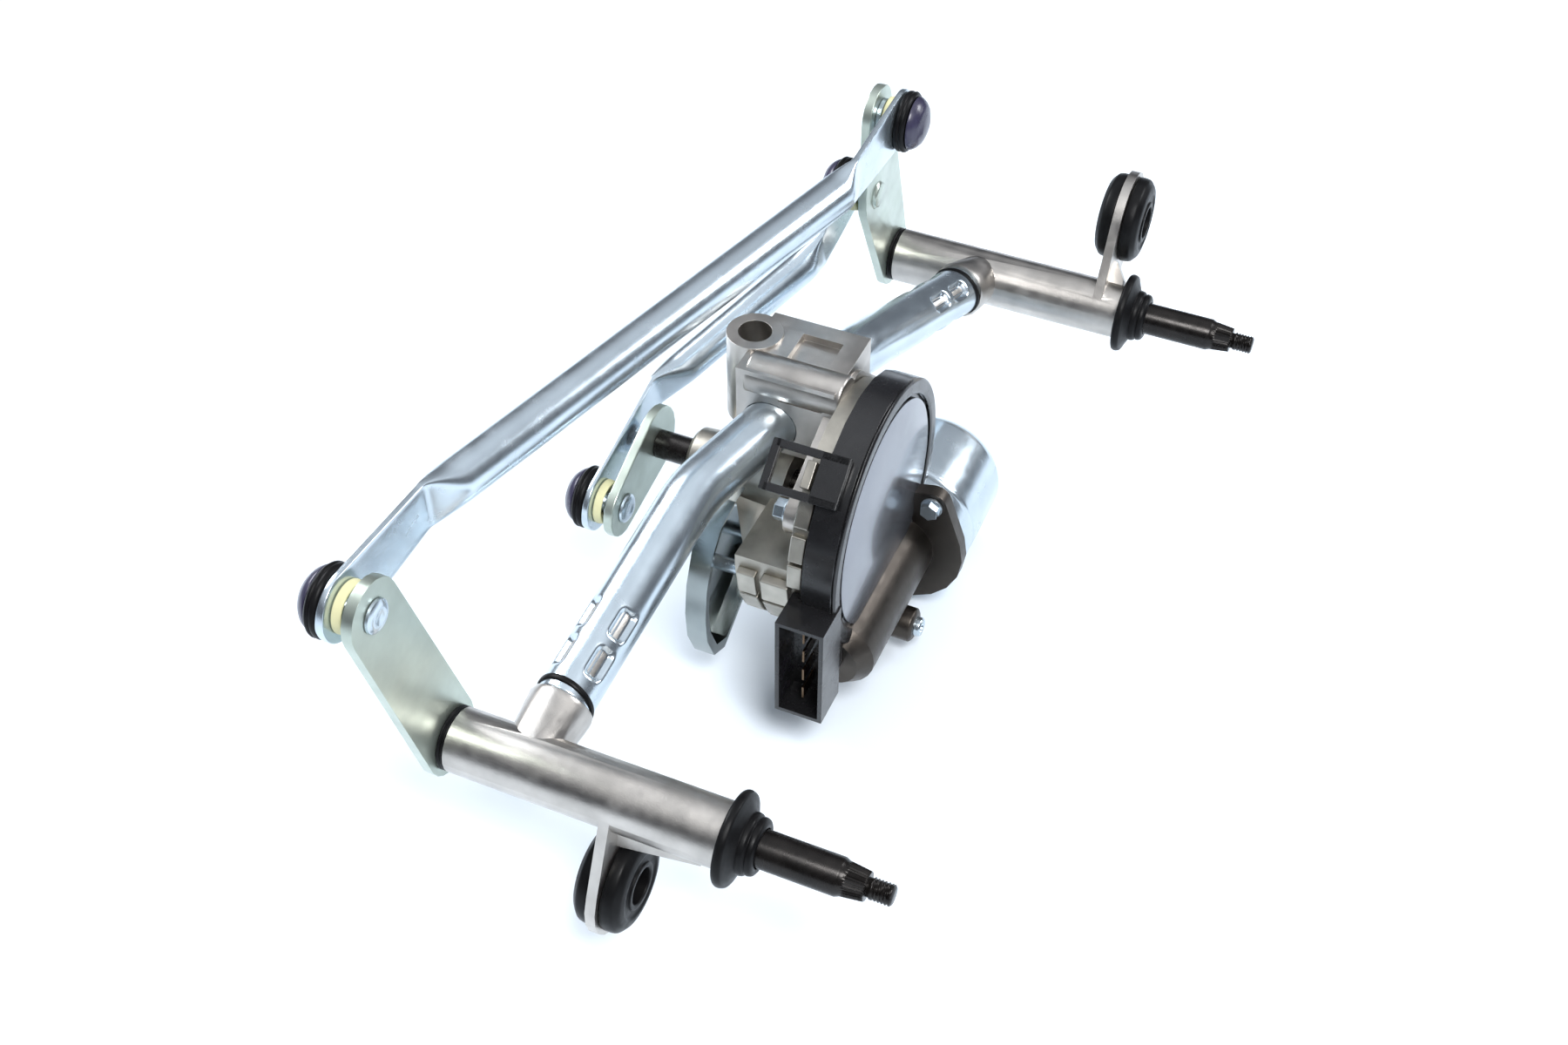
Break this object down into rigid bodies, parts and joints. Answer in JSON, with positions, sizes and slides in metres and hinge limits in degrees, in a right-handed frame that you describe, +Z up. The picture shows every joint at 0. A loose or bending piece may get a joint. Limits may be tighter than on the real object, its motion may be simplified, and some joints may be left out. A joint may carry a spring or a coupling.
{
  "type": "windshield wiper motor with linkage",
  "caption": "Windshield wiper drive: geared motor, crank, ball-jointed link rods and two spindle pivots on a tubular frame with rubber grommets.",
  "frame": {"origin": "centre of the left wiper spindle's flat end", "axes": "-Y out of the car along both spindles, +X from the left spindle to the right one, +Z up as the unit lies on a bench"},
  "size_m": [0.4234, 0.233, 0.1829],
  "materials": {
    "cast_aluminium": "satin as-cast",
    "zinc_plated_steel": "bright zinc plate, pale blue",
    "passivated_steel": "pale green-grey passivated zinc",
    "blackened_steel": "black, satin",
    "black_rubber": "matte",
    "black_plastic": "glossy",
    "cream_plastic": "matte",
    "sintered_bronze": "matte sintered",
    "magnet_ferrite": "matte ceramic",
    "copper": "bright"
  },
  "bodies": {
    "frame": {"left_pivot_housing": "cast_aluminium", "right_pivot_housing": "cast_aluminium", "left_rear_bush": "sintered_bronze", "left_front_bush": "sintered_bronze", "right_rear_bush": "sintered_bronze", "right_front_bush": "sintered_bronze", "left_grommet": "black_rubber", "right_grommet": "black_rubber", "left_rear_seal": "black_rubber", "right_rear_seal": "black_rubber", "left_front_seal": "black_rubber", "right_front_seal": "black_rubber", "frame_tube": "zinc_plated_steel", "motor_bracket": "cast_aluminium", "bracket_screw_1": "zinc_plated_steel", "bracket_screw_2": "zinc_plated_steel", "gear_housing": "cast_aluminium", "gear_cover": "black_plastic", "terminal_1": "copper", "terminal_2": "copper", "terminal_3": "copper", "terminal_4": "copper", "motor_plate": "zinc_plated_steel", "plate_screw_1": "zinc_plated_steel", "plate_screw_2": "zinc_plated_steel", "motor_can": "zinc_plated_steel", "can_screw_1": "zinc_plated_steel", "can_screw_2": "zinc_plated_steel", "magnet_1": "magnet_ferrite", "magnet_2": "magnet_ferrite", "armature": "copper"},
    "left_arm": {"left_arm": "passivated_steel", "left_spindle": "blackened_steel", "left_circlip": "blackened_steel", "left_ball_stud": "zinc_plated_steel"},
    "right_arm": {"right_arm": "passivated_steel", "right_spindle": "blackened_steel", "right_circlip": "blackened_steel", "right_ball_stud": "zinc_plated_steel"},
    "crank": {"crank_arm": "passivated_steel", "crank_nut": "zinc_plated_steel", "output_shaft": "blackened_steel", "worm_wheel": "cream_plastic", "crank_ball_stud": "zinc_plated_steel"},
    "cross_link": {"cross_link": "zinc_plated_steel", "left_ball_liner": "cream_plastic", "left_ball_seal": "black_rubber", "left_ball_cap": "black_plastic", "right_ball_liner": "cream_plastic", "right_ball_seal": "black_rubber", "right_ball_cap": "black_plastic"},
    "drive_link": {"drive_link": "zinc_plated_steel", "crank_ball_liner": "cream_plastic", "crank_ball_seal": "black_rubber", "crank_ball_cap": "black_plastic", "drive_ball_liner": "cream_plastic", "drive_ball_seal": "black_rubber", "drive_ball_cap": "black_plastic", "drive_ball_stud": "zinc_plated_steel"}
  },
  "joints": [
    {"name": "crank_turn", "type": "hinge", "parent": "frame", "child": "crank", "pos_m": [0.166, 0.169, 0.005], "axis": [0, -1, 0], "range_deg": [-170.5, 0]},
    {"name": "left_arm_swing", "type": "hinge", "parent": "frame", "child": "left_arm", "pos_m": [0, 0.166, 0], "axis": [0, -1, 0], "range_deg": [-76, 0]},
    {"name": "right_arm_swing", "type": "hinge", "parent": "frame", "child": "right_arm", "pos_m": [0.335, 0.127, 0], "axis": [0, -1, 0], "range_deg": [-76, 0]},
    {"name": "cross_link_turn", "type": "hinge", "parent": "left_arm", "child": "cross_link", "pos_m": [-0.02748, 0.186, 0.08989], "axis": [0, -1, 0], "range_deg": [0, 76]},
    {"name": "drive_link_turn", "type": "hinge", "parent": "crank", "child": "drive_link", "pos_m": [0.13498, 0.186, -0.00484], "axis": [0, -1, 0], "range_deg": [0, 154]}
  ],
  "couplings": [
    {"joint": "left_arm_swing", "follows": "crank_turn", "ratio": 0.44575},
    {"joint": "right_arm_swing", "follows": "crank_turn", "ratio": 0.44575},
    {"joint": "cross_link_turn", "follows": "crank_turn", "ratio": -0.44575},
    {"joint": "drive_link_turn", "follows": "crank_turn", "ratio": -0.90323}
  ]
}
